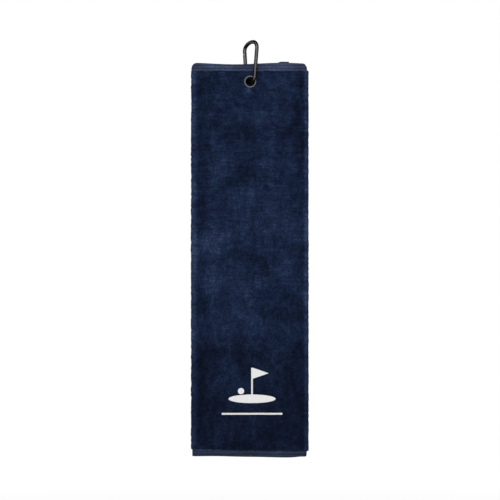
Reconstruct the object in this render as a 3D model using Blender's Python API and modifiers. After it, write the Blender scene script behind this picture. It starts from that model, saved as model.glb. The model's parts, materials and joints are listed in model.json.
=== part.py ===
"""Tri-fold golf towel: a cloth folded in three lengthwise, an eyelet and a carabiner.

Frame: metres, +Z up, +X to the towel's right, and the printed face looks towards -Y.
The origin is on the underside of the carabiner's top bend, straight above the eyelet.
"""
from math import atan2, ceil, cos, hypot, pi, radians, sin, sqrt, tan

import bmesh
import bpy
from mathutils import Matrix, Vector

MM = 0.001
GAP = 0.3 * MM                    # clearance between neighbouring pieces

# The cloth, 400 x 500 mm flat, and its folds
TOWEL_LENGTH = 500 * MM
FOLDED_WIDTH = 149.3 * MM
FLAP_WIDTH = 125.35 * MM          # each outer third, folded behind the centre
MIDDLE_X = -0.6 * MM              # the eyelet isn't quite in the towel's middle
PILE = 2.6 * MM                   # thickness of one layer of velour
PLY_GAP = 0.35 * MM               # air between two layers
PITCH = PILE + PLY_GAP            # from one layer's middle to the next
STACK = 3 * PILE + 2 * PLY_GAP
HEM = 1.6 * MM                    # thickness of the flat woven hems
TOP_HEM = 8.5 * MM
BOTTOM_HEM = 8.0 * MM
SIDE_HEM = 8.0 * MM
THREAD = 0.2 * MM                 # thread radius
THREAD_INSET = 1.3 * MM           # from a hem's inner edge to its stitching
PINNED_LENGTH = 68 * MM           # cloth below the eyelet that the eyelet holds together

# Squeeze of the stack round the eyelet: thicknesses, and the radii where they change
EYELET_STACK = 4.0 * MM
HEM_STACK = 5.2 * MM
EYELET_FLAT = 12.8 * MM
HEM_START = 19 * MM
HEM_END = 38 * MM
LOOSE_START = 65 * MM
CELL = 9 * MM                     # grid that the squeezed cloth is divided by

# Eyelet
EYELET_DROP = 22.5 * MM           # centre below the towel's top edge
HOLE_RADIUS = 5.7 * MM
BARREL_RADIUS = 6.3 * MM
FLANGE_RADIUS = 7.95 * MM
FLANGE = 0.8 * MM
WASHER = 0.5 * MM

# Carabiner, drawn in its own plane: u across, v up from the lowest point of its centre line
WIRE_RADIUS = 2.4 * MM
PLANE_TURN = radians(54)          # its plane against the towel's
HANG_HEIGHT = 47.6 * MM           # underside of the top bend, above the eyelet
WIRE_LIFT = -0.2 * MM             # wire's middle above the eyelet's middle
LOWER_BEND = 9.0 * MM
GATE_HINGE = Vector((-9.77, 15.4)) * MM
GATE_LEAN = radians(5.5)
SPINE_FOOT = Vector((8.65, 0)) * MM
TOP_CORNER = Vector((15.3, 49.1)) * MM
TOP_CORNER_BEND = 7.6 * MM
ROOF = Vector((-1.2, 51.5)) * MM
ROOF_BEND = 22 * MM
SHOULDER = 28.2 * MM              # along the gate's line from its hinge
SHOULDER_BEND = 7.7 * MM

# Gate and its mechanism, measured along the gate from its hinge
GATE_LENGTH = 23.1 * MM
TONGUE = 1.6 * MM                 # thickness of both tongues
SLOT = TONGUE + 2 * GAP
CAM_TOP = 1.9 * MM                # flat end of the lower tongue, which lifts the plunger
CORNER_SWEEP = 3.1 * MM
LOWER_SLOT_TOP = 3.3 * MM
NOSE_END = 17.6 * MM
UPPER_SLOT = 17.0 * MM
LATCH = 20.4 * MM
PIN_RADIUS = 0.75 * MM
PIN_LENGTH = 4.4 * MM
BORE_RADIUS = 1.3 * MM
BORE_TOP = 12.0 * MM
PLUNGER_RADIUS = 0.9 * MM
PLUNGER_LENGTH = 2.8 * MM
SPRING_RADIUS = 0.8 * MM
SPRING_WIRE = 0.2 * MM
SPRING_TURNS = 6

# Print
PRINT = 0.3 * MM
PRINT_X = 2.3 * MM
FLAG_BASE = 403.4 * MM            # below the eyelet
RULE_DROP = 422.4 * MM
RULE_SIZE = Vector((77, 2.4)) * MM
POLE_HEIGHT = 39.5 * MM
POLE_WIDTH = 2.2 * MM
PENNANT = Vector((20, 14)) * MM
GREEN = Vector((30, 5.5)) * MM    # half axes
BALL_RADIUS = 4 * MM
BALL_X = -14 * MM

HOOK_Z = -HANG_HEIGHT
EYELET_Z = HOOK_Z - WIRE_LIFT
TOP = EYELET_Z + EYELET_DROP
BOTTOM = TOP - TOWEL_LENGTH
SPLIT_Z = EYELET_Z - PINNED_LENGTH
PILE_TOP = TOP - TOP_HEM
PILE_BOTTOM = BOTTOM + BOTTOM_HEM
EDGE = FOLDED_WIDTH / 2
LEFT_FOLD_X = MIDDLE_X - EDGE + PITCH + PILE / 2        # where the wide left bend ends
RIGHT_FOLD_X = MIDDLE_X + EDGE - PITCH / 2 - PILE / 2   # where the tight right bend ends
LEFT_FREE_X = MIDDLE_X - EDGE + FLAP_WIDTH      # free edge of the left, outer flap
RIGHT_FREE_X = MIDDLE_X + EDGE - FLAP_WIDTH     # free edge of the right, inner flap
HINGE_CLEARANCE = 1.4 * MM                      # a flap starts this far from its hinge


# ---------------------------------------------------------------- scene helpers

def clear_scene():
    for obj in list(bpy.data.objects):
        bpy.data.objects.remove(obj, do_unlink=True)


def new_collection(name):
    made = bpy.data.collections.new(name)
    bpy.context.scene.collection.children.link(made)
    return made


def new_material(name, colour, roughness, metallic=0.0):
    made = bpy.data.materials.new(name)
    made.use_nodes = True
    shader = made.node_tree.nodes["Principled BSDF"]
    shader.inputs["Base Color"].default_value = (*colour, 1)
    shader.inputs["Roughness"].default_value = roughness
    shader.inputs["Metallic"].default_value = metallic
    made.diffuse_color = (*colour, 1)
    return made


def new_joint(name, place):
    """An empty at a joint."""
    empty = bpy.data.objects.new(name, None)
    empty.empty_display_size = 10 * MM
    empty.location = place
    parts.objects.link(empty)
    return empty


def ride(obj, joint):
    """Parent a piece that was built in world coordinates to a joint's empty."""
    obj.parent = joint
    obj.matrix_parent_inverse = Matrix.Translation(-joint.location)


def new_piece(name, bm, material):
    bmesh.ops.recalc_face_normals(bm, faces=bm.faces)
    mesh = bpy.data.meshes.new(name)
    bm.to_mesh(mesh)
    bm.free()
    mesh.materials.append(material)
    obj = bpy.data.objects.new(name, mesh)
    parts.objects.link(obj)
    return obj


def shade(obj, angle=40):
    obj.data.shade_smooth()
    obj.data.set_sharp_from_angle(angle=radians(angle))


def cut(obj, cutter, operation="DIFFERENCE"):
    modifier = obj.modifiers.new(cutter.name, "BOOLEAN")
    modifier.operation = operation
    modifier.object = cutter
    if cutter.name in parts.objects:
        parts.objects.unlink(cutter)
        cutters.objects.link(cutter)
    cutter.hide_render = True
    cutter.display_type = "WIRE"


def baked(obj):
    """The object's evaluated mesh, in its own space."""
    graph = bpy.context.evaluated_depsgraph_get()
    return bpy.data.meshes.new_from_object(obj.evaluated_get(graph))


# ---------------------------------------------------------------- shape helpers

def box(low, high):
    bm = bmesh.new()
    bmesh.ops.create_cube(bm, size=1)
    low, high = Vector(low), Vector(high)
    for vert in bm.verts:
        vert.co = (low + high) / 2 + vert.co * (high - low)
    return bm


def rod(start, end, radius, sides=24):
    """A cylinder between two points."""
    start, end = Vector(start), Vector(end)
    axis = end - start
    turn = Vector((0, 0, 1)).rotation_difference(axis).to_matrix().to_4x4()
    bm = bmesh.new()
    bmesh.ops.create_cone(bm, cap_ends=True, segments=sides, radius1=radius, radius2=radius,
                          depth=axis.length, matrix=Matrix.Translation((start + end) / 2) @ turn)
    return bm


def mesh_from_curve(name, curve, material, cyclic_points, closed):
    spline = curve.splines.new("POLY")
    spline.points.add(len(cyclic_points) - 1)
    for point, place in zip(spline.points, cyclic_points):
        point.co = (*place, 1)
    spline.use_cyclic_u = closed
    source = bpy.data.objects.new(name + "_curve", curve)
    parts.objects.link(source)
    bm = bmesh.new()
    bm.from_mesh(baked(source))
    bmesh.ops.remove_doubles(bm, verts=bm.verts, dist=0.001 * MM)
    bpy.data.objects.remove(source, do_unlink=True)
    return new_piece(name, bm, material)


def tube(name, points, radius, material, resolution=2):
    """A round wire or thread along a list of 3-D points."""
    curve = bpy.data.curves.new(name, "CURVE")
    curve.dimensions = "3D"
    curve.bevel_depth = radius
    curve.bevel_resolution = resolution
    curve.use_fill_caps = True
    obj = mesh_from_curve(name, curve, material, points, closed=False)
    shade(obj, 60)
    return obj


def plate(name, outline, thickness, material):
    """A flat outline, drawn as x and z, standing in the X-Z plane round y = 0."""
    curve = bpy.data.curves.new(name, "CURVE")
    curve.dimensions = "2D"
    curve.fill_mode = "BOTH"
    curve.extrude = thickness / 2
    obj = mesh_from_curve(name, curve, material, [(x, z, 0) for x, z in outline], closed=True)
    obj.data.transform(Matrix.Rotation(pi / 2, 4, "X"))
    return obj


def turned(name, profile, material, steps=32):
    """A ring turned about its own Z; the profile's outer side runs from +Z to -Z."""
    bm = bmesh.new()
    verts = [bm.verts.new((radius, 0, height)) for radius, height in profile]
    for one, other in zip(verts, verts[1:] + verts[:1]):
        bm.edges.new((one, other))
    obj = new_piece(name, bm, material)
    screw = obj.modifiers.new("turn", "SCREW")
    screw.axis = "Z"
    screw.steps = screw.render_steps = steps
    screw.use_merge_vertices = True
    screw.merge_threshold = 0.00001
    screw.use_smooth_shade = True
    return obj


def bent_path(corners, radii, step=radians(12)):
    """Points of a wire that runs straight between corners and bends round each of them."""
    path = [corners[0]]
    for before, corner, after, radius in zip(corners, corners[1:], corners[2:], radii):
        incoming = (corner - before).normalized()
        outgoing = (after - corner).normalized()
        turn = atan2(incoming.cross(outgoing), incoming.dot(outgoing))
        start = corner - incoming * radius * tan(abs(turn) / 2)
        side = 1 if turn > 0 else -1
        centre = start + Vector((-incoming.y, incoming.x)) * radius * side
        count = ceil(abs(turn) / step)
        for index in range(count + 1):
            spin = Matrix.Rotation(turn * index / count, 2)
            path.append(centre + spin @ (start - centre))
    path.append(corners[-1])
    return path


# ---------------------------------------------------------------- cloth helpers

def ease(low, high, value):
    share = min(max((value - low) / (high - low), 0), 1)
    return share * share * (3 - 2 * share)


def squeeze(x, z):
    """How thick the stack of layers is at a point, as a share of the loose stack."""
    reach = hypot(x, z - EYELET_Z)
    thickness = (EYELET_STACK
                 + (HEM_STACK - EYELET_STACK) * ease(EYELET_FLAT, HEM_START, reach)
                 + (STACK - HEM_STACK) * ease(HEM_END, LOOSE_START, reach))
    return thickness / STACK


def pinch(bm):
    """Divide the cloth by a grid round the eyelet and press its layers together."""
    count = int(LOOSE_START / CELL) + 1
    for index in range(-count, count + 1):
        for centre, normal in (((index * CELL, 0, 0), (1, 0, 0)),
                               ((0, 0, EYELET_Z + index * CELL), (0, 0, 1))):
            everything = bm.verts[:] + bm.edges[:] + bm.faces[:]
            bmesh.ops.bisect_plane(bm, geom=everything, plane_co=centre, plane_no=normal)
    for vert in bm.verts:
        vert.co.y *= squeeze(vert.co.x, vert.co.z)


def layer(number, thickness):
    """Front and back of a layer: -1 the centre third, 0 the inner flap, 1 the outer flap."""
    middle = number * PITCH
    return middle - thickness / 2, middle + thickness / 2


def cloth(name, material, joint, number, thickness, x, z, pinched=False):
    """A flat stretch of one layer; x and z are (low, high) pairs."""
    front, back = layer(number, thickness)
    bm = box((x[0], front, z[0]), (x[1], back, z[1]))
    if pinched:
        pinch(bm)
    obj = new_piece(name, bm, material)
    ride(obj, joint)
    return obj


def left_bend(steps=10):
    """Middle of the cloth round the left fold, from the outer flap to the centre third."""
    return [(LEFT_FOLD_X - PITCH * sin(pi * i / steps), PITCH * cos(pi * i / steps))
            for i in range(steps + 1)]


def right_bend(steps=10):
    """Middle of the cloth round the right fold, from the centre third to the inner flap."""
    radius = PITCH / 2
    return [(RIGHT_FOLD_X + radius * sin(pi * i / steps), -radius - radius * cos(pi * i / steps))
            for i in range(steps + 1)]


def ribbon(name, material, joint, path, thickness, z, pinched=False):
    """A strip of cloth of even thickness that follows a path seen from above."""
    bm = bmesh.new()
    rows = [[bm.verts.new((x, y, height)) for x, y in path] for height in z]
    for low, low_next, high, high_next in zip(rows[0], rows[0][1:], rows[1], rows[1][1:]):
        bm.faces.new((low, low_next, high_next, high))
    sheet = new_piece(name + "_sheet", bm, material)
    solid = sheet.modifiers.new("thickness", "SOLIDIFY")
    solid.thickness = thickness
    solid.offset = 0
    solid.use_even_offset = True
    bm = bmesh.new()
    bm.from_mesh(baked(sheet))
    bpy.data.objects.remove(sheet, do_unlink=True)
    if pinched:
        pinch(bm)
    obj = new_piece(name, bm, material)
    shade(obj)
    ride(obj, joint)
    return obj


def thread_y(number, x, z, side, pinched):
    """Where a thread lies clear of a hem's face; side is -1 for the front, 1 for the back."""
    face = layer(number, HEM)[0 if side < 0 else 1]
    if pinched:
        face *= squeeze(x, z)
    return face + side * (GAP + THREAD)


def level_thread(name, joint, number, x, z, side, pinched=False):
    count = ceil((x[1] - x[0]) / CELL) if pinched else 1
    places = [x[0] + (x[1] - x[0]) * i / count for i in range(count + 1)]
    points = [(place, thread_y(number, place, z, side, pinched), z) for place in places]
    obj = tube(name, points, THREAD, thread_material)
    ride(obj, joint)


def upright_thread(name, joint, number, x, z, side):
    points = [(x, thread_y(number, x, height, side, False), height) for height in z]
    obj = tube(name, points, THREAD, thread_material)
    ride(obj, joint)


# ---------------------------------------------------------------- carabiner

def gate_point(along):
    """A point on the gate's centre line, in the carabiner's plane."""
    return GATE_HINGE + Vector((-sin(GATE_LEAN), cos(GATE_LEAN))) * along


def in_frame(obj, frame):
    """Parent a piece that was built in a frame's own coordinates."""
    obj.parent = frame
    return obj


def make_carabiner_body():
    corners = [gate_point(CAM_TOP),
               gate_point(-GATE_HINGE.y / cos(GATE_LEAN)),
               SPINE_FOOT, TOP_CORNER, ROOF, gate_point(SHOULDER), gate_point(NOSE_END)]
    radii = [LOWER_BEND, LOWER_BEND, TOP_CORNER_BEND, ROOF_BEND, SHOULDER_BEND]
    points = [(u, 0, v) for u, v in bent_path(corners, radii)]
    body = in_frame(tube("carabiner_body", points, WIRE_RADIUS, gunmetal, resolution=4), hook)
    reach = 2 * WIRE_RADIUS
    for side, name in ((-1, "front"), (1, "back")):
        near, far = side * TONGUE / 2, side * reach
        lower = new_piece(f"hinge_cheek_{name}", rod((0, near, 0), (0, far, 0), CORNER_SWEEP), gunmetal)
        cut(body, in_frame(lower, gate))
        upper = new_piece(f"nose_cheek_{name}",
                          box((-reach, min(near, far), NOSE_END - reach),
                              (reach, max(near, far), GATE_LENGTH + GAP)), gunmetal)
        cut(body, in_frame(upper, gate))
    notch = new_piece("latch_notch",
                      box((-PIN_RADIUS - GAP, -reach, LATCH - PIN_RADIUS - 2 * GAP),
                          (reach, reach, LATCH + PIN_RADIUS + GAP)), gunmetal)
    cut(body, in_frame(notch, gate))
    cut(body, hinge_hole)


def make_gate():
    stem = new_piece("carabiner_gate", rod((0, 0, 0), (0, 0, GATE_LENGTH), WIRE_RADIUS), gunmetal)
    in_frame(stem, gate)
    bm = bmesh.new()
    bmesh.ops.create_uvsphere(bm, u_segments=24, v_segments=12, radius=WIRE_RADIUS)
    cut(stem, in_frame(new_piece("gate_ball_end", bm, gunmetal), gate), "UNION")
    reach = 2 * WIRE_RADIUS
    lower = new_piece("gate_lower_slot", box((-reach, -SLOT / 2, -reach),
                                             (reach, SLOT / 2, LOWER_SLOT_TOP)), gunmetal)
    upper = new_piece("gate_upper_slot", box((-reach, -SLOT / 2, UPPER_SLOT),
                                             (reach, SLOT / 2, GATE_LENGTH + reach)), gunmetal)
    bore = new_piece("spring_bore", rod((0, 0, CAM_TOP), (0, 0, BORE_TOP), BORE_RADIUS), gunmetal)
    latch_hole = new_piece("latch_hole", rod((0, -reach, LATCH), (0, reach, LATCH),
                                             PIN_RADIUS + GAP, 16), gunmetal)
    for cutter in (lower, upper, bore, latch_hole):
        cut(stem, in_frame(cutter, gate))
    cut(stem, hinge_hole)
    shade(stem)


def make_gate_mechanism():
    half = PIN_LENGTH / 2
    for name, height in (("gate_hinge_pin", 0), ("gate_latch_pin", LATCH)):
        pin = new_piece(name, rod((0, -half, height), (0, half, height), PIN_RADIUS, 16), steel)
        shade(in_frame(pin, gate))
    foot = CAM_TOP + GAP
    head = foot + PLUNGER_LENGTH
    plunger = new_piece("gate_plunger", rod((0, 0, foot), (0, 0, head), PLUNGER_RADIUS, 16), steel)
    shade(in_frame(plunger, gate))
    low = head + GAP + SPRING_WIRE
    high = BORE_TOP - GAP - SPRING_WIRE
    steps = 10 * SPRING_TURNS
    coil = [(SPRING_RADIUS * cos(2 * pi * i / 10), SPRING_RADIUS * sin(2 * pi * i / 10),
             low + (high - low) * i / steps) for i in range(steps + 1)]
    in_frame(tube("gate_spring", coil, SPRING_WIRE, steel, resolution=1), gate)


# ---------------------------------------------------------------- eyelet

def make_eyelet():
    face = EYELET_STACK / 2 + GAP
    front = face + FLANGE
    washer_back = face + WASHER
    rim = washer_back + GAP
    round_over = BARREL_RADIUS - HOLE_RADIUS
    barrel = [(BARREL_RADIUS, front), (FLANGE_RADIUS - FLANGE / 2, front),
              (FLANGE_RADIUS, front - FLANGE / 2), (FLANGE_RADIUS, face), (BARREL_RADIUS, face),
              (BARREL_RADIUS, -rim), (BARREL_RADIUS + 2 * round_over, -rim),
              (BARREL_RADIUS + 2 * round_over, -rim - WASHER / 2),
              (BARREL_RADIUS + round_over, -rim - WASHER), (BARREL_RADIUS, -rim - WASHER),
              (HOLE_RADIUS, -rim - WASHER + round_over), (HOLE_RADIUS, front - round_over)]
    inner = BARREL_RADIUS + GAP
    washer = [(FLANGE_RADIUS, -face), (FLANGE_RADIUS, -washer_back),
              (inner, -washer_back), (inner, -face)]
    for name, profile in (("eyelet_barrel", barrel), ("eyelet_washer", washer)):
        ring = turned(name, profile, gunmetal)
        ring.rotation_euler.x = pi / 2
        ring.location.z = EYELET_Z
        ride(ring, towel)


# ---------------------------------------------------------------- towel

def make_centre():
    """The front third, both folds and the hems that run round them."""
    pile_z = (PILE_BOTTOM + GAP, PILE_TOP - GAP)
    centre = cloth("centre_panel", velour, towel, -1, PILE,
                   (LEFT_FOLD_X + GAP, RIGHT_FOLD_X - GAP), pile_z, pinched=True)
    cut(centre, eyelet_hole)
    ribbon("left_fold", velour, towel, left_bend(), PILE, pile_z)
    ribbon("right_fold", velour, towel, right_bend(), PILE, pile_z)
    whole = [(LEFT_FREE_X, PITCH)] + left_bend() + right_bend() + [(RIGHT_FREE_X, 0)]
    ribbon("top_hem", hem_cloth, towel, whole, HEM, (PILE_TOP, TOP), pinched=True)
    ribbon("bottom_hem", hem_cloth, towel, left_bend() + right_bend(), HEM, (BOTTOM, PILE_BOTTOM))


def make_flap(side, number, fold_x, free_x, joint):
    """One outer third: the root that the eyelet pins, and the free length below it."""
    inward = 1 if free_x > fold_x else -1
    hem_x = free_x - inward * SIDE_HEM
    edge = sorted((hem_x, free_x))
    root_x = sorted((fold_x + inward * GAP, hem_x - inward * GAP))
    free_length_x = sorted((fold_x + inward * HINGE_CLEARANCE, hem_x - inward * GAP))
    root_z = (SPLIT_Z + GAP, PILE_TOP - GAP)
    free_z = (PILE_BOTTOM + GAP, SPLIT_Z)
    root = cloth(f"{side}_flap_root", velour, towel, number, PILE, root_x, root_z, pinched=True)
    cut(root, eyelet_hole)
    cloth(f"{side}_flap_root_side_hem", hem_cloth, towel, number, HEM, edge, root_z, pinched=True)
    cloth(f"{side}_flap", velour, joint, number, PILE, free_length_x, free_z)
    cloth(f"{side}_flap_side_hem", hem_cloth, joint, number, HEM, edge, free_z)
    bottom_x = sorted((fold_x + inward * HINGE_CLEARANCE, free_x))
    cloth(f"{side}_flap_bottom_hem", hem_cloth, joint, number, HEM, bottom_x, (BOTTOM, PILE_BOTTOM))
    inset = THREAD_INSET
    level_thread(f"{side}_flap_bottom_thread", joint, number,
                 (bottom_x[0] + inset, bottom_x[1] - inset), PILE_BOTTOM - inset, 1)
    upright_thread(f"{side}_flap_side_thread", joint, number, hem_x + inward * inset,
                   (free_z[0] + inset, free_z[1] - inset), 1)


def make_hem_threads():
    span = (LEFT_FOLD_X, RIGHT_FOLD_X)
    level_thread("top_hem_thread", towel, -1, span, PILE_TOP + THREAD_INSET, -1, pinched=True)
    level_thread("bottom_hem_thread", towel, -1, span, PILE_BOTTOM - THREAD_INSET, -1)


def make_print():
    """A plain flag on a green with a ball beside it, and a thin rule below."""
    half = POLE_WIDTH / 2
    start = atan2(sqrt(1 - (half / GREEN.x) ** 2), half / GREEN.x)
    sweep = 2 * pi - 2 * (pi / 2 - start)
    steps = 40
    angles = [start - sweep * i / steps for i in range(steps + 1)]
    outline = [(GREEN.x * cos(angle), GREEN.y * sin(angle)) for angle in angles]
    tip = POLE_HEIGHT - PENNANT.y / 2
    outline += [(-half, POLE_HEIGHT), (half, POLE_HEIGHT), (half + PENNANT.x, tip),
                (half, POLE_HEIGHT - PENNANT.y)]
    surface = sqrt(1 - (BALL_X / GREEN.x) ** 2) * GREEN.y
    ball_z = surface + 3 * GAP + BALL_RADIUS
    ball = [(BALL_X + BALL_RADIUS * cos(2 * pi * i / 24), ball_z + BALL_RADIUS * sin(2 * pi * i / 24))
            for i in range(24)]
    rule_z = FLAG_BASE - RULE_DROP
    reach, half_rule = RULE_SIZE / 2
    rule = [(-reach, rule_z - half_rule), (reach, rule_z - half_rule),
            (reach, rule_z + half_rule), (-reach, rule_z + half_rule)]
    face = layer(-1, PILE)[0] - GAP - PRINT / 2
    for name, shape in (("printed_flag", outline), ("printed_ball", ball), ("printed_rule", rule)):
        obj = plate(name, shape, PRINT, white_ink)
        obj.data.transform(Matrix.Translation((PRINT_X, face, EYELET_Z - FLAG_BASE)))
        ride(obj, towel)


clear_scene()
parts = new_collection("golf_towel")
cutters = new_collection("cutters")
velour = new_material("velour", (0.018, 0.032, 0.085), 0.95)
hem_cloth = new_material("hem_cloth", (0.045, 0.065, 0.145), 0.85)
thread_material = new_material("thread", (0.05, 0.07, 0.15), 0.7)
gunmetal = new_material("gunmetal", (0.09, 0.088, 0.085), 0.35, 1.0)
steel = new_material("steel", (0.55, 0.55, 0.55), 0.3, 1.0)
white_ink = new_material("white_ink", (0.85, 0.85, 0.85), 0.8)

hook = new_joint("carabiner_plane", Vector((0, 0, HOOK_Z)))
hook.rotation_euler.z = -PLANE_TURN
gate = new_joint("gate_hinge", Vector((GATE_HINGE.x, 0, GATE_HINGE.y)))
gate.rotation_euler.y = -GATE_LEAN
gate.parent = hook
towel = new_joint("towel_swing", Vector((0, 0, EYELET_Z)))
left_flap = new_joint("left_flap_hinge", Vector((LEFT_FOLD_X, PITCH, SPLIT_Z)))
right_flap = new_joint("right_flap_hinge", Vector((RIGHT_FOLD_X, 0, SPLIT_Z)))

bore_reach = 2 * WIRE_RADIUS
hinge_hole = new_piece("hinge_hole", rod((0, -bore_reach, 0), (0, bore_reach, 0),
                                         PIN_RADIUS + GAP, 16), gunmetal)
in_frame(hinge_hole, gate)
eyelet_hole = new_piece("eyelet_hole", rod((0, -STACK, EYELET_Z), (0, STACK, EYELET_Z),
                                           BARREL_RADIUS + GAP, 32), gunmetal)

make_carabiner_body()
make_gate()
make_gate_mechanism()
make_eyelet()
make_centre()
make_flap("left", 1, LEFT_FOLD_X, LEFT_FREE_X, left_flap)
make_flap("right", 0, RIGHT_FOLD_X, RIGHT_FREE_X, right_flap)
make_hem_threads()
make_print()
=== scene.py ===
"""Looks of a tri-fold golf towel: velour cloth, woven hems, stitching, print, eyelet and carabiner.

The cloth is one sheet, 400 x 500 mm. A point of it has a distance along the folded line as seen
from above, from the outer flap's free edge to the inner flap's, and a height.
"""
import json
from math import atan2, ceil, cos, pi, radians, sin, sqrt, tan

import bmesh
import bpy
import numpy as np
from mathutils import Matrix, Vector


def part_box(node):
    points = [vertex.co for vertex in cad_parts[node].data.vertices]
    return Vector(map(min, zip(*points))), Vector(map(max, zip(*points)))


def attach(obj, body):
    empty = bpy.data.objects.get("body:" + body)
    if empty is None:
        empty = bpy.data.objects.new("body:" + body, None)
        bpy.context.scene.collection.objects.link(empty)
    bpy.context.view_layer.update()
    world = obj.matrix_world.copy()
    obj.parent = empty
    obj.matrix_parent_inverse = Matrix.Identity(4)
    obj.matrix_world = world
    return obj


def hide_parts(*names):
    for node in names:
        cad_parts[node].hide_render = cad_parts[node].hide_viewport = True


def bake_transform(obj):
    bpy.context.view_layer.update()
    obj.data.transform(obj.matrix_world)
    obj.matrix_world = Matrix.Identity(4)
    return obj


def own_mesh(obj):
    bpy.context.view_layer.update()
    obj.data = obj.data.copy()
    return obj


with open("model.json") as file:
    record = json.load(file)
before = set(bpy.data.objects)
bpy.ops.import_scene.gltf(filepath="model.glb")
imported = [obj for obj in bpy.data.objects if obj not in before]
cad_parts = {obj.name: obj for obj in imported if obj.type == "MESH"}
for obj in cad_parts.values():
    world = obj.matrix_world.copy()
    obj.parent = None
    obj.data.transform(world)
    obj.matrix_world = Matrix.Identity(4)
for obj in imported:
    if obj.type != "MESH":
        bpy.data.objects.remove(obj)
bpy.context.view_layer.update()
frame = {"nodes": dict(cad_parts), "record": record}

MM = 0.001
record = frame["record"]
joints = {joint["name"]: joint for joint in record["behaviour"]["joints"]}

# Places read from the frame
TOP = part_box("top_hem")[1].z
PILE_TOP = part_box("top_hem")[0].z
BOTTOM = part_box("bottom_hem")[0].z
PILE_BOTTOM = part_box("bottom_hem")[1].z
LEFT_FOLD_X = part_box("left_fold")[1].x
RIGHT_FOLD_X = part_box("right_fold")[0].x
MIDDLE_X = (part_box("left_fold")[0].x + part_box("right_fold")[1].x) / 2
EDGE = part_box("right_fold")[1].x - MIDDLE_X
HALF_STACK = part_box("left_fold")[1].y
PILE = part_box("left_flap")[1].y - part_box("left_flap")[0].y
PITCH = HALF_STACK - PILE / 2
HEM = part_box("left_flap_side_hem")[1].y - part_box("left_flap_side_hem")[0].y
LEFT_FREE_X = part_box("left_flap_side_hem")[1].x
RIGHT_FREE_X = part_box("right_flap_side_hem")[0].x
SIDE_HEM = LEFT_FREE_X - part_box("left_flap_side_hem")[0].x
EYELET_Z = joints["towel_swing"]["pos_m"][2]
FLANGE_RADIUS = (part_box("eyelet_barrel")[1].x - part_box("eyelet_barrel")[0].x) / 2

# Distances along the folded cloth, from the outer flap's free edge
LEFT_BEND = LEFT_FREE_X - LEFT_FOLD_X
CENTRE_START = LEFT_BEND + pi * PITCH
CENTRE_END = CENTRE_START + RIGHT_FOLD_X - LEFT_FOLD_X
RIGHT_END = CENTRE_END + pi * PITCH / 2
CLOTH_END = RIGHT_END + RIGHT_FOLD_X - RIGHT_FREE_X
FOLD_LEFT = (LEFT_BEND + CENTRE_START) / 2
FOLD_RIGHT = (CENTRE_END + RIGHT_END) / 2

# How the cloth lies. The spans are distances from the eyelet's middle, over which something changes
EYELET_STACK = 4.3 * MM           # thickness of the layers that the eyelet holds
RIM_SWELL = 0.85 * MM             # each side's swelling, just outside the eyelet's rim
RIM_SPAN = (8.3 * MM, 13 * MM)
LOOSE_SPAN = (24 * MM, 62 * MM)
WAVE_SPAN = (20 * MM, 75 * MM)
PUCKER_SPAN = (9 * MM, 15 * MM)
PUCKER_END = (18 * MM, 40 * MM)
PRESSED_SPAN = (8 * MM, 12 * MM)  # where the rim presses the pile flat
CLOTH_HOLE = 6.6 * MM
FRONT_CELL = 1.3 * MM             # grid of the front; the grid of the hems and flaps is coarser
FLAP_CELL = 2.0 * MM
TUCK = 2.5 * MM                   # how far a hem reaches under the pile
TOP_DRAWN_IN = (1.005, 0.986)     # the hems' left and right sides, as shares of the pile's
BOTTOM_DRAWN_IN = (0.990, 0.968)

# Stitching and print
STITCH_PITCH = 3.0 * MM
STITCH_LENGTH = 2.5 * MM
STITCH_RADIUS = 0.24 * MM
STITCH_INSET = 1.6 * MM           # from a hem's inner edge
SIDE_STITCH_INSET = 2.6 * MM      # from a side hem's inner edge
HALF_POLE = 1.1 * MM
PENNANT_LENGTH = 20 * MM
PENNANT_HEIGHT = 14 * MM
GREEN_HALF_HEIGHT = 5.5 * MM
INK_CELL = 1.2 * MM
INK_FACE = 0.22 * MM              # above the pile
INK_ROOT = -0.45 * MM             # down in the pile

# Carabiner, with the sizes of the frame's solids: u across its plane, v up from the wire's
# lowest point
WIRE_RADIUS = 2.4 * MM
HANG_HEIGHT = 47.6 * MM
PLANE_TURN = radians(54)
LOWER_BEND = 9.0 * MM
GATE_HINGE = Vector((-9.77, 15.4)) * MM
GATE_LEAN = radians(5.5)
SPINE_FOOT = Vector((8.65, 0)) * MM
TOP_CORNER = Vector((15.3, 49.1)) * MM
TOP_CORNER_BEND = 7.6 * MM
ROOF = Vector((-1.2, 51.5)) * MM
ROOF_BEND = 22 * MM
SHOULDER = 28.2 * MM
SHOULDER_BEND = 7.7 * MM
GAP = 0.3 * MM
GATE_LENGTH = 23.1 * MM
TONGUE = 1.6 * MM
SLOT = TONGUE + 2 * GAP
CAM_TOP = 1.9 * MM
CORNER_SWEEP = 3.1 * MM
LOWER_SLOT_TOP = 3.3 * MM
NOSE_END = 17.6 * MM
UPPER_SLOT = 17.0 * MM
LATCH = 20.4 * MM
PIN_RADIUS = 0.75 * MM
BORE_RADIUS = 1.3 * MM
BORE_TOP = 12.0 * MM
WIRE_SIDES = 32
PAST_WIRE = 2 * WIRE_RADIUS       # how far a cut reaches, well past the wire's surface
PLANE = Matrix.Translation((0, 0, -HANG_HEIGHT)) @ Matrix.Rotation(-PLANE_TURN, 4, "Z")
LEAN = Matrix.Translation((GATE_HINGE.x, 0, GATE_HINGE.y)) @ Matrix.Rotation(-GATE_LEAN, 4, "Y")


# ---------------------------------------------------------------- fields on the cloth

def ease(low, high, value):
    """A smooth step from 0 at low to 1 at high."""
    share = np.clip((value - low) / (high - low), 0, 1)
    return share * share * (3 - 2 * share)


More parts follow.
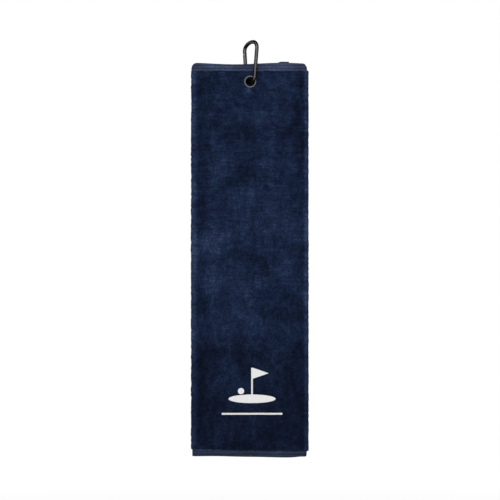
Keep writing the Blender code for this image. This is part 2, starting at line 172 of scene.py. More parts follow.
def noise(u, v, grain_u, grain_v, seed, size=256):
    """A smooth random field from -1 to 1, whose grains are grain_u by grain_v."""
    table = np.random.RandomState(seed).uniform(-1, 1, (size, size))
    column, row = np.asarray(u) / grain_u, np.asarray(v) / grain_v
    left, low = np.floor(column).astype(int), np.floor(row).astype(int)
    across, up = column - left, row - low
    across, up = across * across * (3 - 2 * across), up * up * (3 - 2 * up)

    def at(i, j):
        return table[i % size, j % size]

    below = at(left, low) * (1 - across) + at(left + 1, low) * across
    above = at(left, low + 1) * (1 - across) + at(left + 1, low + 1) * across
    return below * (1 - up) + above * up


def squeeze(x, z):
    """Thickness of the stack at a point, as a share of the loose stack's."""
    reach = np.hypot(x, z - EYELET_Z)
    half = (EYELET_STACK / 2 + RIM_SWELL * ease(*RIM_SPAN, reach)
            + (HALF_STACK - EYELET_STACK / 2 - RIM_SWELL) * ease(*LOOSE_SPAN, reach))
    return half / HALF_STACK


def drape(x, z):
    """The whole towel's gentle waves to the front and back, and seven puckers round the eyelet."""
    reach = np.hypot(x, z - EYELET_Z)
    drop = EYELET_Z - z
    wave = (0.9 * MM * np.sin(x / (38 * MM) + 0.7) * ease(0.05, 0.3, drop)
            + 0.7 * MM * np.sin(drop / (52 * MM) + x / (70 * MM) + 1.1)
            + 1.0 * MM * noise(x, z, 60 * MM, 110 * MM, 3))
    pucker = 0.22 * MM * np.cos(7 * np.arctan2(x, z - EYELET_Z) + 0.6) * ease(*PUCKER_SPAN, reach)
    pucker = pucker * (1 - ease(*PUCKER_END, reach))
    return wave * ease(*WAVE_SPAN, reach) + pucker


def pile_relief(s, z):
    """How far the velour stands out: clumps, brushed marks and the tufts that show at the folds."""
    fold = np.minimum(abs(s - FOLD_LEFT), abs(s - FOLD_RIGHT))
    tufts = 1 - ease(2 * MM, 9 * MM, fold)
    return (0.10 * MM * noise(s, z, 1.6 * MM, 1.6 * MM, 11)
            + 0.14 * MM * noise(s, z, 4.2 * MM, 3.6 * MM, 12)
            + 0.16 * MM * noise(s, z, 14 * MM, 9 * MM, 13)
            + tufts * (0.5 * MM + 0.30 * MM * noise(s, z, 9 * MM, 3.4 * MM, 14)))


def terry_relief(s, z):
    """Rows of loops on the inside of the cloth."""
    return (0.10 * MM * np.sin(2 * pi * z / (2.6 * MM)) * np.cos(2 * pi * s / (5.2 * MM))
            + 0.12 * MM * noise(s, z, 2.4 * MM, 2.4 * MM, 21))


def hem_relief(s, z):
    """The hem's slight unevenness."""
    return 0.05 * MM * noise(s, z, 6 * MM, 2 * MM, 31)


# ---------------------------------------------------------------- lines of the folded cloth

def outer_line(s):
    """The outer flap: x, y and the outward normal at each distance."""
    one = np.ones_like(s)
    return LEFT_FREE_X - s, PITCH * one, 0 * one, one


def inner_line(s):
    one = np.ones_like(s)
    return RIGHT_FREE_X + CLOTH_END - s, 0 * one, 0 * one, one


def whole_line(s):
    """The whole folded cloth, round both bends."""
    x, y, nx, ny = outer_line(s)
    turn = (s - LEFT_BEND) / PITCH
    bend = (s > LEFT_BEND) & (s <= CENTRE_START)
    x = np.where(bend, LEFT_FOLD_X - PITCH * np.sin(turn), x)
    y = np.where(bend, PITCH * np.cos(turn), y)
    nx = np.where(bend, -np.sin(turn), nx)
    ny = np.where(bend, np.cos(turn), ny)
    centre = s > CENTRE_START
    x = np.where(centre, LEFT_FOLD_X + s - CENTRE_START, x)
    y = np.where(centre, -PITCH, y)
    nx = np.where(centre, 0, nx)
    ny = np.where(centre, -1, ny)
    radius = PITCH / 2
    turn = (s - CENTRE_END) / radius
    bend = (s > CENTRE_END) & (s <= RIGHT_END)
    x = np.where(bend, RIGHT_FOLD_X + radius * np.sin(turn), x)
    y = np.where(bend, -radius - radius * np.cos(turn), y)
    nx = np.where(bend, np.sin(turn), nx)
    ny = np.where(bend, -np.cos(turn), ny)
    inner = s > RIGHT_END
    return tuple(np.where(inner, inner_value, value)
                 for inner_value, value in zip(inner_line(s), (x, y, nx, ny)))


# Each flap's line, and the distances of its free edge and of its root at the fold
FLAPS = (("left", outer_line, 0, LEFT_BEND), ("right", inner_line, CLOTH_END, RIGHT_END))


def drawn_in(line, left, right):
    """The same line, narrower: its left and right sides are scaled towards the middle."""
    def narrowed(s):
        x, y, nx, ny = line(s)
        across = x - MIDDLE_X
        return MIDDLE_X + across * np.where(across > 0, right, left), y, nx, ny
    return narrowed


def from_middle(line, s):
    return line(s)[0] - MIDDLE_X


def on_cloth(line, s, z, out):
    """World places of points that stand out from the cloth's middle."""
    x, y, nx, ny = line(s)
    x, y = x + nx * out, y + ny * out
    return np.stack([x, y * squeeze(x, z) + drape(x, z), z], axis=-1)


# ---------------------------------------------------------------- mesh building

def graded(low, high, radius, cell):
    """Values from low to high, close together near both ends, where the edge is rounded."""
    ends = radius * (1 - np.cos(np.radians([0, 22, 45, 67])))
    inner = np.linspace(low + radius, high - radius, max(2, ceil((high - low - 2 * radius) / cell)))
    return np.concatenate([low + ends, inner, (high - ends)[::-1]])


def add_object(name, vertices, faces, materials, slots=None, uvs=None):
    mesh = bpy.data.meshes.new(name)
    mesh.from_pydata(vertices.tolist(), [], faces.tolist())
    for material in materials:
        mesh.materials.append(material)
    if slots is not None:
        mesh.polygons.foreach_set("material_index", slots)
    if uvs is not None:
        layer = mesh.uv_layers.new(name="cloth")
        loops = np.empty(len(mesh.loops), int)
        mesh.loops.foreach_get("vertex_index", loops)
        layer.data.foreach_set("uv", uvs[loops].ravel())
    mesh.shade_smooth()
    mesh.update()
    obj = bpy.data.objects.new(name, mesh)
    bpy.context.scene.collection.objects.link(obj)
    return obj


def cloth_piece(name, line, s_span, z_low, z_high, thickness, cell, reliefs, materials, hole=False):
    """A closed, round-edged stretch of cloth.

    z_low and z_high give its lower and upper edge along s. reliefs and materials are in pairs,
    for the outer side and the inner side. hole says whether the eyelet goes through it.
    """
    radius = thickness / 2
    s = graded(*s_span, radius, cell)
    low, high = z_low(line, s), z_high(line, s)
    share = graded(0, 1, radius / np.mean(high - low), cell / np.mean(high - low))
    z = low[None, :] + (high - low)[None, :] * share[:, None]
    s_grid = np.repeat(s[None, :], len(share), axis=0)
    from_edge = np.minimum(np.minimum(s_grid - s[0], s[-1] - s_grid),
                           np.minimum(z - low[None, :], high[None, :] - z))
    taper = np.sqrt(np.clip(1 - (1 - np.clip(from_edge / radius, 0, 1)) ** 2, 0, 1))
    flat_radius = np.hypot(line(s_grid)[0], z - EYELET_Z)
    pressed = ease(*PRESSED_SPAN, flat_radius) if hole else 1
    front = on_cloth(line, s_grid, z, (radius + reliefs[0](s_grid, z) * pressed) * taper)
    back = on_cloth(line, s_grid, z, -(radius + reliefs[1](s_grid, z) * pressed) * taper)
    rows, columns = z.shape
    index = np.arange(rows * columns).reshape(rows, columns)
    behind = index + rows * columns
    for border in (np.s_[0, :], np.s_[-1, :], np.s_[:, 0], np.s_[:, -1]):
        behind[border] = index[border]

    def quads(grid):
        return np.stack([grid[:-1, :-1], grid[:-1, 1:], grid[1:, 1:], grid[1:, :-1]], axis=-1)

    near, far = quads(index), quads(behind)
    if hole:
        middle_x = (line(s_grid)[0][:-1, :-1] + line(s_grid)[0][1:, 1:]) / 2
        middle_z = (z[:-1, :-1] + z[1:, 1:]) / 2
        open_cell = np.hypot(middle_x, middle_z - EYELET_Z) < CLOTH_HOLE
        rim = np.zeros_like(index, bool)
        for rows_at in (np.s_[:-1], np.s_[1:]):
            for columns_at in (np.s_[:-1], np.s_[1:]):
                rim[rows_at, columns_at] |= open_cell
        turn = np.arctan2(z - EYELET_Z, line(s_grid)[0])
        for side in (front, back):
            side[rim, 0] = (CLOTH_HOLE * np.cos(turn))[rim]
            side[rim, 2] = (EYELET_Z + CLOTH_HOLE * np.sin(turn))[rim]
        walls = hole_walls(index, behind, open_cell)
        near, far = near[~open_cell], far[~open_cell]
    else:
        walls = np.empty((0, 4), int)
        near, far = near.reshape(-1, 4), far.reshape(-1, 4)
    faces = np.concatenate([near, far[:, ::-1], walls])
    slots = np.concatenate([np.zeros(len(near), int), np.ones(len(far), int), np.zeros(len(walls), int)])
    vertices = np.concatenate([front.reshape(-1, 3), back.reshape(-1, 3)])
    uvs = np.tile(np.stack([s_grid, z], axis=-1).reshape(-1, 2), (2, 1))
    used = np.zeros(len(vertices), bool)
    used[faces.ravel()] = True
    renumber = np.cumsum(used) - 1
    obj = add_object(name, vertices[used], renumber[faces], materials, slots, uvs[used])
    outward(obj)
    return obj


def hole_walls(index, behind, open_cell):
    """Faces that join the cloth's two sides round the open cells."""
    walls = []
    for row, column in np.argwhere(open_cell):
        corners = [(row, column), (row, column + 1), (row + 1, column + 1), (row + 1, column)]
        beside = [(row - 1, column), (row, column + 1), (row + 1, column), (row, column - 1)]
        for place, (one, other) in enumerate(zip(corners, corners[1:] + corners[:1])):
            if not open_cell[beside[place]]:
                walls.append([index[one], index[other], behind[other], behind[one]])
    return np.array(walls)


def outward(obj, merge=False):
    """Turn a mesh's faces outward. Where merge says so, points at one place become one first."""
    bm = bmesh.new()
    bm.from_mesh(obj.data)
    if merge:
        bmesh.ops.remove_doubles(bm, verts=bm.verts, dist=0.0001 * MM)
    bmesh.ops.recalc_face_normals(bm, faces=bm.faces)
    bm.to_mesh(obj.data)
    bm.free()


def stitches(name, line, s, z, upright=False):
    """A row of stitches: small rounded grains of thread on a hem's surface."""
    out = HEM / 2 + STITCH_RADIUS / 2
    places = on_cloth(line, s, z, out)
    step = 0.3 * MM               # a small way along the row, to find its direction
    ahead = on_cloth(line, s, z + step, out) if upright else on_cloth(line, s + step, z, out)
    run = ahead - places
    run /= np.linalg.norm(run, axis=1)[:, None]
    nx, ny = line(s)[2:]
    lift = np.stack([nx, ny, 0 * nx], axis=-1)
    across = np.cross(run, lift)
    rings, sides = 6, 6
    bluntness = 0.6
    vertices, faces = [], []
    for row in range(rings + 1):
        swing = pi * row / rings
        for side in range(sides):
            spin = 2 * pi * side / sides
            width = sin(swing) ** bluntness * STITCH_RADIUS
            vertices.append(places - run * cos(swing) * STITCH_LENGTH / 2
                            + across * width * cos(spin) + lift * width * sin(spin))
    vertices = np.stack(vertices, axis=1)
    per = vertices.shape[1]
    for row in range(rings):
        for side in range(sides):
            a, b = row * sides + side, row * sides + (side + 1) % sides
            faces.append([a, b, b + sides, a + sides])
    faces = (np.array(faces)[None] + per * np.arange(len(places))[:, None, None]).reshape(-1, 4)
    obj = add_object(name, vertices.reshape(-1, 3), faces, [thread])
    outward(obj, merge=True)
    return obj


# ---------------------------------------------------------------- materials

class Finish:
    """A Principled material and short calls that add nodes to it."""

    def __init__(self, name, **inputs):
        self.material = bpy.data.materials.new(name)
        self.material.use_nodes = True
        self.nodes = self.material.node_tree.nodes
        self.links = self.material.node_tree.links
        self.shader = self.nodes["Principled BSDF"]
        for key, value in inputs.items():
            self.shader.inputs[key.replace("_", " ")].default_value = value

    def add(self, kind, wires=(), **settings):
        node = self.nodes.new(kind)
        for key, value in settings.items():
            if hasattr(node, key):
                setattr(node, key, value)
            else:
                node.inputs[key.replace("_", " ")].default_value = value
        for socket, source in wires:
            self.links.new(source, node.inputs[socket])
        return node

    def stretched(self, source, scale):
        node = self.add("ShaderNodeMapping", [("Vector", source)])
        node.inputs["Scale"].default_value = scale
        return node.outputs[0]

    def noise(self, source, scale, detail=3.0, roughness=0.55, distortion=0.0):
        node = self.add("ShaderNodeTexNoise", [("Vector", source)], Scale=scale, Detail=detail,
                        Roughness=roughness, Distortion=distortion)
        return node.outputs["Fac"]

    def math(self, operation, one, other=None):
        node = self.add("ShaderNodeMath", operation=operation)
        for place, value in enumerate((one, other)):
            if isinstance(value, (int, float)):
                node.inputs[place].default_value = value
            elif value is not None:
                self.links.new(value, node.inputs[place])
        return node.outputs[0]

    def weighted(self, parts):
        """Noises added round 0.5, each with its weight."""
        total = 0.5 - sum(weight for source, weight in parts) / 2
        for source, weight in parts:
            total = self.math("ADD", self.math("MULTIPLY", source, weight), total)
        return total

    def fade(self, source, start, end, first, last):
        """A smooth change from first to last as the source goes from start to end."""
        node = self.add("ShaderNodeMapRange", [("Value", source)], interpolation_type="SMOOTHSTEP")
        for key, value in (("From Min", start), ("From Max", end), ("To Min", first), ("To Max", last)):
            node.inputs[key].default_value = value
        return node.outputs[0]

    def ramp(self, source, stops):
        node = self.add("ShaderNodeValToRGB", [("Fac", source)])
        elements = node.color_ramp.elements
        while len(elements) < len(stops):
            elements.new(0.5)
        for element, (place, colour) in zip(elements, stops):
            element.position = place
            element.color = (*colour, 1)
        return node.outputs["Color"]

    def colour(self, source):
        self.links.new(source, self.shader.inputs["Base Color"])

    def rough(self, source):
        self.links.new(source, self.shader.inputs["Roughness"])

    def bump(self, source, distance, strength=1.0, below=None):
        node = self.add("ShaderNodeBump", [("Height", source)], Distance=distance, Strength=strength)
        if below is not None:
            self.links.new(below, node.inputs["Normal"])
        return node.outputs["Normal"]

    def normal(self, source):
        self.links.new(source, self.shader.inputs["Normal"])

    def cloth_place(self):
        return self.add("ShaderNodeUVMap", uv_map="cloth").outputs["UV"]


def velour_finish():
    """Navy velour: brushed patches, streaks and rows, nap, painted sheen along both folds with painted
    shade just inside it, and painted shade towards the foot and the top.
    """
    f = Finish("velour", Roughness=0.95, Specular_IOR_Level=0.1, Sheen_Weight=0.12,
               Sheen_Roughness=0.4, Sheen_Tint=(0.45, 0.55, 0.85, 1))
    place = f.cloth_place()
    patches = f.noise(place, 24, 5, 0.6, 0.7)
    streaks = f.noise(f.stretched(place, (75, 24, 1)), 1, 4, 0.6, 1.2)
    mottle = f.noise(place, 135, 4, 0.62, 0.4)
    tufts = f.noise(place, 430, 3, 0.65)
    grain = f.noise(place, 1500, 2, 0.6)
    tone = f.weighted([(patches, 0.72), (streaks, 0.5), (mottle, 0.65), (tufts, 0.8), (grain, 0.25)])
    split = f.add("ShaderNodeSeparateXYZ", [("Vector", place)])
    s, z = split.outputs["X"], split.outputs["Y"]
    for rows_across, rows_up, weight in ((11, 28, 0.5), (42, 330, 0.42)):
        rows = f.noise(f.stretched(place, (rows_across, rows_up, 1)), 1, 3, 0.6)
        share = f.fade(z, BOTTOM + 0.1, BOTTOM + 0.3, 0.1, weight)
        tone = f.math("ADD", tone, f.math("MULTIPLY", f.math("SUBTRACT", rows, 0.5), share))
    tone = f.math("ADD", tone, f.fade(z, BOTTOM, BOTTOM + 0.29, -0.17, 0.07))   # painted shade: darker towards the foot
    tone = f.math("ADD", tone, f.fade(z, TOP - 0.25, TOP - 0.07, 0.0, -0.11))   # and painted shade, darker towards the top
    # Painted sheen: the velour is paler along each fold. Painted shade: a darker band just inside each
    # pale strip.
    for fold, reach in ((FOLD_LEFT, 11 * MM), (FOLD_RIGHT, 7 * MM)):
        away = f.math("ABSOLUTE", f.math("SUBTRACT", s, fold))
        tone = f.math("ADD", tone, f.fade(away, reach / 3, reach, 0.3, 0.0))
        tone = f.math("ADD", tone, f.fade(away, reach, 26 * MM, -0.09, 0.0))
    pale_pucker = (CENTRE_START - LEFT_FOLD_X - 4 * MM, EYELET_Z - 11 * MM, 0)
    spot = f.add("ShaderNodeVectorMath", [(0, place)], operation="DISTANCE")
    spot.inputs[1].default_value = pale_pucker
    tone = f.math("ADD", tone, f.fade(spot.outputs["Value"], 2 * MM, 7 * MM, 0.2, 0.0))
    navy = f.ramp(tone, [(0.1, (0.0010, 0.0024, 0.0090)), (0.32, (0.0027, 0.0064, 0.0210)),
                         (0.5, (0.0060, 0.0132, 0.0390)), (0.68, (0.0122, 0.0242, 0.0650)),
                         (0.95, (0.0390, 0.0600, 0.1200))])
    hue = f.math("SUBTRACT", f.noise(place, 80, 3, 0.55), 0.5)
    shift = f.add("ShaderNodeVectorMath", [(0, hue)], operation="MULTIPLY_ADD")
    shift.inputs[1].default_value = (-0.3, 0.2, -0.15)
    shift.inputs[2].default_value = (1, 1, 1)
    shifted = f.add("ShaderNodeVectorMath", [(0, navy), (1, shift.outputs[0])], operation="MULTIPLY")
    f.colour(shifted.outputs[0])
    fibres = f.bump(grain, 0.0005, 0.8)
    soft = f.bump(tufts, 0.0010, 0.8, fibres)
    f.normal(f.bump(mottle, 0.0016, 0.5, soft))
    return f.material


def terry_finish():
    """The inside of the cloth: close rows of small loops."""
    f = Finish("terry", Roughness=0.95, Specular_IOR_Level=0.1, Sheen_Weight=0.3,
               Sheen_Roughness=0.5, Sheen_Tint=(0.45, 0.55, 0.85, 1))
    place = f.cloth_place()
    loops = f.add("ShaderNodeTexVoronoi", [("Vector", f.stretched(place, (520, 640, 1)))], Scale=1.0)
    patches = f.noise(place, 45, 4, 0.6)
    # Painted shade: the loops get darker towards the gaps between them.
    gap_shade = f.math("MULTIPLY", loops.outputs["Distance"], -0.45)
    tone = f.math("ADD", gap_shade, f.math("MULTIPLY", patches, 0.9))
    f.colour(f.ramp(tone, [(0.05, (0.0045, 0.0075, 0.019)), (0.4, (0.0110, 0.0190, 0.048)),
                           (0.75, (0.020, 0.033, 0.078))]))
    rounded = f.math("SUBTRACT", 1.0, loops.outputs["Distance"])
    f.normal(f.bump(rounded, 0.0012, 1.0))
    return f.material


def woven_finish(name, tint):
    """Flat weave: raised ribs along the hem, a fine weave between them and worn patches."""
    f = Finish(name, Roughness=0.8, Specular_IOR_Level=0.2, Sheen_Weight=0.15,
               Sheen_Roughness=0.4, Sheen_Tint=(0.6, 0.68, 0.9, 1))
    place = f.cloth_place()
    ribs = f.add("ShaderNodeTexWave", [("Vector", place)], wave_type="BANDS",
                 bands_direction="Y", Scale=82, Distortion=0.9, Detail=2.0, Detail_Scale=0.6)
    weft = f.add("ShaderNodeTexWave", [("Vector", place)], wave_type="BANDS",
                 bands_direction="X", Scale=420, Distortion=0.8, Detail=1.0)
    warp = f.add("ShaderNodeTexWave", [("Vector", place)], wave_type="BANDS",
                 bands_direction="Y", Scale=520, Distortion=0.6, Detail=1.0)
    weave = f.math("MULTIPLY", weft.outputs["Fac"], warp.outputs["Fac"])
    wear = f.noise(f.stretched(place, (32, 90, 1)), 1, 4, 0.6)
    fuzz = f.noise(f.stretched(place, (330, 520, 1)), 1, 3, 0.65)
    tone = f.weighted([(ribs.outputs["Fac"], 0.3), (weave, 0.22), (wear, 1.0), (fuzz, 0.8)])
    dark, mid, light = ([channel * share for channel in tint] for share in (0.35, 1.0, 2.0))
    f.colour(f.ramp(tone, [(0.15, dark), (0.5, mid), (0.85, light)]))
    f.normal(f.bump(weave, 0.0002, 0.7, f.bump(ribs.outputs["Fac"], 0.0004, 0.6)))
    return f.material


def thread_finish():
    f = Finish("thread", Roughness=0.6, Specular_IOR_Level=0.3, Sheen_Weight=0.2)
    place = f.add("ShaderNodeTexCoord").outputs["Object"]
    twist = f.add("ShaderNodeTexWave", [("Vector", place)], bands_direction="DIAGONAL", Scale=900)
    f.colour(f.ramp(twist.outputs["Fac"], [(0.2, (0.010, 0.016, 0.040)), (0.8, (0.030, 0.044, 0.090))]))
    f.normal(f.bump(twist.outputs["Fac"], 0.0001, 0.6))
    return f.material


def ink_finish():
    """Thick white textile ink over the pile, a little uneven."""
    f = Finish("white_ink", Roughness=0.75, Specular_IOR_Level=0.25)
    place = f.add("ShaderNodeTexCoord").outputs["Object"]
    grain = f.noise(place, 900, 3, 0.6)
    f.colour(f.ramp(grain, [(0.25, (0.70, 0.70, 0.71)), (0.55, (0.80, 0.80, 0.80)),
                            (0.8, (0.84, 0.84, 0.84))]))
    f.normal(f.bump(grain, 0.0003, 0.35))
    return f.material


def metal_finish(name, dark, light, roughness):
    """Plated metal with fine drawing marks and a few paler rubs."""
    f = Finish(name, Metallic=1.0)
    place = f.add("ShaderNodeTexCoord").outputs["Object"]
    marks = f.noise(f.stretched(place, (900, 900, 90)), 1, 3, 0.6)
    rubs = f.noise(place, 160, 4, 0.7)
    tone = f.math("ADD", f.math("MULTIPLY", marks, 0.4), f.math("MULTIPLY", rubs, 0.6))
    f.colour(f.ramp(tone, [(0.35, dark), (0.75, light)]))
    low, high = roughness
    f.rough(f.ramp(tone, [(0.3, (low,) * 3), (0.7, (high,) * 3)]))
    f.normal(f.bump(marks, 0.00003, 0.5))
    return f.material


# ---------------------------------------------------------------- the towel

def rounding(x, edge, radius):
    """How far a rounded corner of this radius draws the edge back at x."""
    past = np.clip(x - (edge - radius), 0, radius)
    return radius - np.sqrt(radius ** 2 - past ** 2)


def top_edge(line, s):
    """The top edge of the folded towel, gently wavy, with rounded corners."""
    x = from_middle(line, s)
    crest, wave_length = 40 * MM, 118 * MM
    wave = 0.5 * MM + 0.95 * MM * np.cos(2 * pi * (x - crest) / wave_length)
    reach = EDGE - PILE / 2 + 0.1 * MM
    return TOP + wave - rounding(-x, reach, 6 * MM) - rounding(x, 0.98 * reach, 4.5 * MM)


def bottom_edge(line, s):
    """The bottom edge: it slants down to the right and turns up again near its right corner."""
    x = from_middle(line, s)
    slant = 1.2 * MM - 1.7 * MM * ease(-60 * MM, 48 * MM, x) + 0.9 * MM * ease(52 * MM, 66 * MM, x)
    ripple = 0.12 * MM * np.sin(x / (9 * MM))
    left, right = (share * EDGE for share in BOTTOM_DRAWN_IN)
    return BOTTOM + slant + ripple + rounding(-x, left, 2 * MM) + rounding(x, right, 2 * MM)


def pile_top(line, s):
    """Where the pile ends at the top, uneven from clump to clump."""
    return (PILE_TOP + 0.7 * MM * noise(s, 0 * s, 8 * MM, 1, 41)
            + 0.45 * MM * noise(s, 0 * s, 2.6 * MM, 1, 42))


def pile_bottom(line, s):
    """Where the pile ends at the bottom, a little lower on the right."""
    slant = 1.7 * MM - 2.8 * MM * (from_middle(line, s) + EDGE) / (2 * EDGE)
    return (PILE_BOTTOM + slant + 0.5 * MM * noise(s, 0 * s, 8 * MM, 1, 43)
            + 0.4 * MM * noise(s, 0 * s, 2.6 * MM, 1, 44))


def peeking_edge(line, s):
    """The top edge, with the outer flap's free corner a little above the other layers."""
    return top_edge(line, s) + 1.9 * MM * (1 - ease(SIDE_HEM + 2 * MM, SIDE_HEM + 9 * MM, s))


def under(edge):
    """A pile's edge, moved so that a hem reaches under it from above or below."""
    return lambda line, s: edge(line, s) + (TUCK if edge is pile_bottom else -TUCK)


def make_front():
    """The pile of the centre third and of both folds, in one piece."""
    half = PILE / 2
    piece = cloth_piece("centre_cloth", whole_line, (LEFT_BEND - half, RIGHT_END + half),
                        pile_bottom, pile_top, PILE, FRONT_CELL, (pile_relief, terry_relief),
                        [velour, terry], hole=True)
    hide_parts("centre_panel", "left_fold", "right_fold")
    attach(piece, "towel")
    return piece


def make_hems():
    """The woven bands at the top, round both folds, and at the bottom of the centre third."""
    hems = []
    for name, node, line, span, low, high, weave in (
            ("top", "top_hem", drawn_in(whole_line, *TOP_DRAWN_IN), (0, CLOTH_END),
             under(pile_top), peeking_edge, top_weave),
            ("bottom", "bottom_hem", drawn_in(whole_line, *BOTTOM_DRAWN_IN), (LEFT_BEND, RIGHT_END),
             bottom_edge, under(pile_bottom), bottom_weave)):
        piece = cloth_piece(f"woven_{name}_hem", line, span, low, high, HEM, FLAP_CELL,
                            (hem_relief, hem_relief), [weave, weave])
        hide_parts(node)
        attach(piece, "towel")
        hems.append(piece)
    return hems


def make_flap(side, line, free, root):
    """A flap's pile, side hem and bottom hem."""
    inward = 1 if root > free else -1
    half = PILE / 2
    spans = {"cloth": sorted((free + inward * (SIDE_HEM - 1 * MM), root + inward * half)),
             "woven_side": sorted((free, free + inward * (SIDE_HEM + 1 * MM))),
             "woven_bottom": sorted((free, root + inward * HEM / 2))}
    flap = cloth_piece(f"{side}_flap_cloth", line, spans["cloth"], pile_bottom, pile_top, PILE, FLAP_CELL,
                       (pile_relief, terry_relief), [velour, terry], hole=True)
    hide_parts(f"{side}_flap_root", f"{side}_flap")
    hems = []
    for name, high, nodes in (
            ("woven_side", pile_top, (f"{side}_flap_root_side_hem", f"{side}_flap_side_hem")),
            ("woven_bottom", under(pile_bottom), (f"{side}_flap_bottom_hem",))):
        hem = cloth_piece(f"{side}_flap_{name}", line, spans[name], bottom_edge, high, HEM, FLAP_CELL,
                          (hem_relief, hem_relief), [bottom_weave, bottom_weave])
        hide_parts(*nodes)
        hems.append(hem)
    for piece in (flap, *hems):
        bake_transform(piece)
    return flap, hems


def make_stitching():
    """Lockstitch along every hem."""
    pitch = STITCH_PITCH
    margin = 4 * MM
    along = np.arange(margin, CLOTH_END - margin, pitch)
    top = stitches("top_hem_stitches", drawn_in(whole_line, *TOP_DRAWN_IN), along,
                   pile_top(whole_line, along) + STITCH_INSET)
    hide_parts("top_hem_thread")
    along = np.arange(LEFT_BEND + pitch, RIGHT_END - pitch, pitch)
    bottom = stitches("bottom_hem_stitches", drawn_in(whole_line, *BOTTOM_DRAWN_IN), along,
                      pile_bottom(whole_line, along) - STITCH_INSET)
    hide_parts("bottom_hem_thread")
    for row in (top, bottom):
        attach(row, "towel")
    for side, line, free, root in FLAPS:
        inward = 1 if root > free else -1
        along = np.arange(min(free, root) + 2 * MM, max(free, root) - 2 * MM, pitch)
        foot = stitches(f"{side}_flap_bottom_stitches", line, along,
                        pile_bottom(line, along) - STITCH_INSET)
        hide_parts(f"{side}_flap_bottom_thread")
        up = np.arange(BOTTOM + 3 * MM, PILE_TOP - 2 * MM, pitch)
        inset = free + inward * (SIDE_HEM - SIDE_STITCH_INSET)
        edge = stitches(f"{side}_flap_side_stitches", line, np.full_like(up, inset), up, upright=True)
        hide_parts(f"{side}_flap_side_thread")
        for row in (foot, edge):
            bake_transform(row)


# ---------------------------------------------------------------- print

def printed(name, outline, node):
    """Ink on the pile inside an outline of x and z: a thin skin that follows the cloth."""
    bm = bmesh.new()
    bm.faces.new([bm.verts.new((x, 0, z)) for x, z in outline])
    for axis in (0, 2):
        low, high = min(v.co[axis] for v in bm.verts), max(v.co[axis] for v in bm.verts)
        for step in range(1, ceil((high - low) / INK_CELL)):
            centre, normal = Vector(), Vector()
            centre[axis], normal[axis] = low + step * INK_CELL, 1
            bmesh.ops.bisect_plane(bm, geom=bm.verts[:] + bm.edges[:] + bm.faces[:], plane_co=centre,
                                   plane_no=normal, dist=0.01 * MM)
    skin = bmesh.ops.extrude_face_region(bm, geom=bm.faces[:])
    raised = {item for item in skin["geom"] if isinstance(item, bmesh.types.BMVert)}
    flat = np.array([vert.co for vert in bm.verts])
    top = np.array([vert in raised for vert in bm.verts])
    s = CENTRE_START + flat[:, 0] - LEFT_FOLD_X
    z = flat[:, 2]
    out = PILE / 2 + pile_relief(s, z) + np.where(top, INK_FACE, INK_ROOT)
    for vert, place in zip(bm.verts, on_cloth(whole_line, s, z, out)):
        vert.co = place
    bmesh.ops.recalc_face_normals(bm, faces=bm.faces)
    piece = new_object(name, bm, white_ink)
    piece.data.shade_smooth()
    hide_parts(node)
    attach(piece, "towel")


def make_print():
    """A plain flag on a green with a ball beside it, and a thin rule below."""
    flag_low, flag_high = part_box("printed_flag")
    middle = (flag_low.x + flag_high.x) / 2
    reach = (flag_high.x - flag_low.x) / 2
    green = flag_low.z + GREEN_HALF_HEIGHT
    start = atan2(sqrt(1 - (HALF_POLE / reach) ** 2), HALF_POLE / reach)
    steps = 72
    angles = [start - (pi + 2 * start) * i / steps for i in range(steps + 1)]
    outline = [(middle + reach * cos(angle), green + GREEN_HALF_HEIGHT * sin(angle)) for angle in angles]
    outline += [(middle - HALF_POLE, flag_high.z), (middle + HALF_POLE, flag_high.z),
                (middle + HALF_POLE + PENNANT_LENGTH, flag_high.z - PENNANT_HEIGHT / 2),
                (middle + HALF_POLE, flag_high.z - PENNANT_HEIGHT)]
    ball_low, ball_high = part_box("printed_ball")
    radius = (ball_high.x - ball_low.x) / 2
    centre = (ball_low + ball_high) / 2
    sides = 32
    ball = [(centre.x + radius * cos(2 * pi * i / sides), centre.z + radius * sin(2 * pi * i / sides))
            for i in range(sides)]
    low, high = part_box("printed_rule")
    rule = [(low.x, low.z), (high.x, low.z), (high.x, high.z), (low.x, high.z)]
    for name, shape in (("flag", outline), ("ball", ball), ("rule", rule)):
        printed(f"{name}_print", shape, f"printed_{name}")


# ---------------------------------------------------------------- metal pieces

def new_object(name, bm, material):
    mesh = bpy.data.meshes.new(name)
    bm.to_mesh(mesh)
    bm.free()
    mesh.materials.append(material)
    obj = bpy.data.objects.new(name, mesh)
    bpy.context.scene.collection.objects.link(obj)
    return obj


def box(low, high):
    bm = bmesh.new()
    bmesh.ops.create_cube(bm, size=1)
    low, high = Vector(low), Vector(high)
    for vert in bm.verts:
        vert.co = (low + high) / 2 + vert.co * (high - low)
    return bm


def rod(start, end, radius):
    """A cylinder between two points."""
    start, end = Vector(start), Vector(end)
    turn = Vector((0, 0, 1)).rotation_difference(end - start).to_matrix().to_4x4()
    bm = bmesh.new()
    bmesh.ops.create_cone(bm, cap_ends=True, segments=WIRE_SIDES, radius1=radius, radius2=radius,
                          depth=(end - start).length,
                          matrix=Matrix.Translation((start + end) / 2) @ turn)
    return bm


def bent_path(corners, radii, step=radians(5)):
    """Points of a wire that runs straight between corners and bends round each of them."""
    path = [corners[0]]
    for before, corner, after, radius in zip(corners, corners[1:], corners[2:], radii):
        incoming = (corner - before).normalized()
        outgoing = (after - corner).normalized()
        turn = atan2(incoming.cross(outgoing), incoming.dot(outgoing))
        start = corner - incoming * radius * tan(abs(turn) / 2)
        side = 1 if turn > 0 else -1
        centre = start + Vector((-incoming.y, incoming.x)) * radius * side
        count = ceil(abs(turn) / step)
        for index in range(count + 1):
            spin = Matrix.Rotation(turn * index / count, 2)
            path.append(centre + spin @ (start - centre))
    path.append(corners[-1])
    return path


